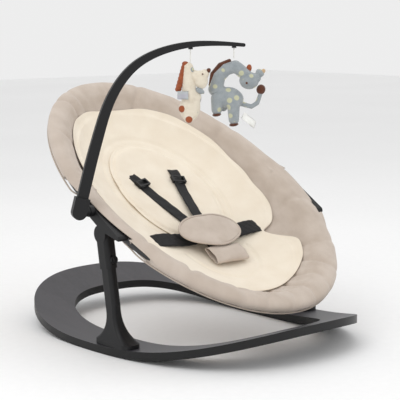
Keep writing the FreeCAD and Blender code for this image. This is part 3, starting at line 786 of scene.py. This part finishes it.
for side, title in ((-1, "left"), (1, "right")):
    buildStrap("shoulderStrap_" + title, harness["shoulder"], side, ["shoulder_strap_" + title], twist=-.12)
    buildStrap("waistStrap_" + title, harness["waist"], side, ["waist_strap_" + title], wide=.034, twist=-.2)
buildStrap("crotchStrap", harness["crotch"], 1, ["crotch_strap"], rows=20)
print("harness")

# hanging toys
toyView = math.radians(studio["azimuth"])
toyRight = Vector((math.cos(toyView), math.sin(toyView), 0))
toyBack = Vector((-math.sin(toyView), math.cos(toyView), 0))


def toyPlace(tape):
    low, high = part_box(tape)
    place = Matrix((toyRight, toyBack, (0, 0, 1))).transposed().to_4x4()
    place.translation = Vector(((low.x + high.x) / 2, (low.y + high.y) / 2, high.z))
    return place


def buildPlush(name, lumps, look, place, body, replaces=(), voxel=.0016, smooth=4):
    # balls and stuffed limbs melted into one skin; lumps are centre, half sizes and tilt in mm and degrees
    shape = bmesh.new()
    for centre, half, tilt in lumps:
        turn = Matrix.Rotation(math.radians(tilt), 4, "Y")
        size = Matrix.Diagonal((half[0] / 1000, half[1] / 1000, half[2] / 1000, 1))
        at = Matrix.Translation(Vector(centre) / 1000) @ turn @ size
        bmesh.ops.create_icosphere(shape, subdivisions=3, radius=1, matrix=at)
    made = makePiece(name, shape, look, place, replaces)
    skin = made.modifiers.new("skin", "REMESH")
    skin.mode = "VOXEL"
    skin.voxel_size = voxel
    relax = made.modifiers.new("relax", "SMOOTH")
    relax.factor = 0.5
    relax.iterations = smooth
    settle(made)
    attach(made, body)
    return made


def chain(start, end, half, count, depth=0):
    # a limb as a row of overlapping balls
    dots = []
    for k in range(count):
        f = k / (count - 1)
        size = half[0] + (half[1] - half[0]) * f
        dots.append(((start[0] + (end[0] - start[0]) * f, depth, start[1] + (end[1] - start[1]) * f), (size,) * 3, 0))
    return dots


firstPlace, secondPlace = toyPlace("toy_tape_1"), toyPlace("toy_tape_2")
creamToy = {
    "body": [((-1, 0, -110), (20, 13, 27), 6), ((7, 2, -92), (14, 11, 16), 0), ((-13, -4, -112), (10, 8, 10), 0),
             ((-3, -5, -129), (10, 8, 11), 0)],
    "neck": chain((-5, -34), (-2, -92), (10.5, 15), 9),
    "head": [((19, 0, -57), (14, 12, 18), -15), ((27, -1, -46), (9, 8, 9), 0), ((6, 0, -50), (12, 9, 12), 0)],
    "mane": [((-5 - 1.9 * k, -2, -27 - 6.9 * k), (6.6, 6, 5.2), 0) for k in range(8)],
    "ear": [((18, -4, -78), (10, 5, 5.5), 30), ((2, -4, -38), (5, 6, 6), 0)],
}
buildPlush("creamToyBody", creamToy["body"] + creamToy["neck"], looks["plush_cream"],
           firstPlace, "toy_1", ["toy_1_body"])
buildPlush("creamToyHead", creamToy["head"], looks["plush_cream"], firstPlace, "toy_1",
           ["toy_1_head"])
buildPlush("creamToyMane", [((x - 5, y, z), half, tilt) for (x, y, z), half, tilt in creamToy["mane"]],
           rustLook, firstPlace, "toy_1", smooth=1)
buildPlush("creamToyFeet", [((-16, -9, -112), (7.2, 4, 7.2), 0), ((-3, -11, -132), (7.2, 4, 7.2), 0)], rustLook,
           firstPlace, "toy_1")
buildPlush("creamToyNose", [((34, -2, -40), (4.5, 5, 6), 30)], brownLook, firstPlace,
           "toy_1")
buildPlush("creamToyEars", creamToy["ear"], looks["plush_grey"], firstPlace, "toy_1")
buildPlush("creamToyEye", [((23, -12, -46), (1.7, 1.5, 1.7), 0)], brownLook, firstPlace, "toy_1",
           voxel=.0006, smooth=1)

greyToy = {
    "body": [((-14, 0, -94), (29, 17, 20), -6), ((-30, 0, -82), (14, 13, 16), 0), ((4, 0, -98), (15, 15, 17), 0)],
    "legs": chain((-32, -96), (-33, -117), (12.5, 10.5), 5, -6)
    + chain((-1, -104), (0, -136), (13, 10.5), 6, -6) + chain((-22, -98), (-20, -114), (9, 8), 4, 8),
    "neck": chain((-35, -78), (-29, -54), (14.5, 13), 5) + chain((-29, -54), (-15, -40), (13, 12.5), 5)
    + chain((-15, -40), (3, -35), (12.5, 12), 5) + chain((3, -35), (22, -50), (12, 12), 5),
    "head": [((29, 0, -62), (19, 15, 17), 5), ((40, -1, -58), (12, 10, 9), 0), ((50, -1, -47), (9, 7, 7), 40)],
    "tail": chain((16, -107), (34, -112), (5, 4.6), 7) + chain((34, -112), (45, -105), (4.6, 4.6), 5)
    + chain((45, -105), (51, -88), (4.6, 4.2), 6),
    "mane": chain((-45, -70), (-40, -50), (4, 6), 6, -1) + chain((-40, -50), (-26, -33), (6, 6), 7, -1)
    + chain((-26, -33), (-9, -24), (6, 4), 6, -1),
}
buildPlush("greyToyBody", greyToy["body"] + greyToy["legs"], looks["plush_grey"], secondPlace, "toy_2",
           ["toy_2_body"])
buildPlush("greyToyNeck", greyToy["neck"], looks["plush_grey"], secondPlace, "toy_2", ["toy_2_neck"])
buildPlush("greyToyHead", greyToy["head"], looks["plush_grey"], secondPlace, "toy_2", ["toy_2_head"])
buildPlush("greyToyTail", greyToy["tail"], looks["plush_grey"], secondPlace, "toy_2", ["toy_2_tail"])
buildPlush("greyToyTailTip", [((52, 0, -79), (9, 7, 10), 10)], brownLook, secondPlace, "toy_2")
buildPlush("greyToyMane", greyToy["mane"], brownLook, secondPlace, "toy_2", smooth=2)
buildPlush("greyToySoles", [((-33, -7, -127), (9, 9, 3.8), -8), ((0, -7, -146), (9.5, 9.5, 3.8), -8)], brownLook,
           secondPlace, "toy_2")
buildPlush("greyToyEar_1", [((29, -2, -38), (5.5, 4, 8), 5)], rustLook, secondPlace, "toy_2")
buildPlush("greyToyEar_2", [((56, -2, -44), (4.5, 4, 5.5), 40)], tanLook, secondPlace, "toy_2")
buildPlush("greyToyEye", [((24, -14.5, -66), (2.3, 1.8, 2.3), 0)], brownLook, secondPlace, "toy_2",
           voxel=.0006, smooth=1)


def buildTag(name, corners, look, place, body, replaces=()):
    # a short loop of ribbon, blank, with a soft curl
    shape = bmesh.new()
    bmesh.ops.create_grid(shape, x_segments=12, y_segments=6, size=1)
    a, b, c, d = (Vector(p) / 1000 for p in corners)
    for v in shape.verts:
        u, w = (v.co.x + 1) / 2, (v.co.y + 1) / 2
        spot = (a * (1 - u) + b * u) * (1 - w) + (d * (1 - u) + c * u) * w
        spot.y += 0.0016 * math.sin(u * 5 + w * 2)
        v.co = spot
    bmesh.ops.solidify(shape, geom=shape.faces[:], thickness=0.0006)
    made = makePiece(name, shape, look, place, replaces)
    clothMap(made, lambda p: (p.y, p.z))
    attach(made, body)
    return made


lilacLook = makeLook("lilacRibbonLook", {
    "pattern": "weave", "threads": 4200, "mottle": 90, "dark": "b3adbd", "light": "bccabf",
    "rough": 0.8, "bump": 0.4, "deep": 0.0003, "specular": 0.3})
buildTag("creamToyTag", [(-25, -14, -93), (-4, -17, -93), (-4, -17, -78), (-25, -14, -78)], lilacLook,
         firstPlace, "toy_1")
buildTag("greyToyTag", [(20, -9, -122), (43, -9, -140), (39, -9, -153), (14, -9, -133)], looks["tape_white"],
         secondPlace, "toy_2")
print("toys")

# floor and light
floorShape = bmesh.new()
bmesh.ops.create_grid(floorShape, x_segments=2, y_segments=2, size=9)
floorMesh = bpy.data.meshes.new("studioFloor")
floorShape.to_mesh(floorMesh)
floorShape.free()
floor = bpy.data.objects.new("studioFloor", floorMesh)
scene.collection.objects.link(floor)
floor.location.z = cadBox[0][2] - 0.0002
floorLook = makeLook("studioFloorLook", {
    "pattern": "grain", "scale": 60, "clouds": 1, "dark": "f3f3f3", "light": "f8f8f8",
    "rough": 0.75, "bump": 0.02, "deep": 0.0002, "specular": 0.2})
floorMesh.materials.append(floorLook)

world = bpy.data.worlds.new("studioWorld")
world.use_nodes = True
world.node_tree.nodes["Background"].inputs["Color"].default_value = (1, 1, 1, 1)
world.node_tree.nodes["Background"].inputs["Strength"].default_value = 0.85
scene.world = world
lamps = {
    "keyLamp": {"azimuth": 8, "elevation": 48, "distance": 2.6, "size": 1.5, "power": 15},
    "fillLamp": {"azimuth": 105, "elevation": 30, "distance": 2.8, "size": 2.0, "power": 5},
    "topLamp": {"azimuth": -150, "elevation": 65, "distance": 2.4, "size": 1.6, "power": 8},
}
for name, lamp in lamps.items():
    light = bpy.data.lights.new(name, "AREA")
    light.shape = "SQUARE"
    light.size = lamp["size"]
    light.energy = lamp["power"]
    holder = bpy.data.objects.new(name, light)
    scene.collection.objects.link(holder)
    holder.location = awayFrom(studio["target"], lamp["azimuth"], lamp["elevation"], lamp["distance"])
    aim(holder, studio["target"])
scene.view_settings.view_transform = "Standard"
scene.view_settings.look = "None"
print("studio")
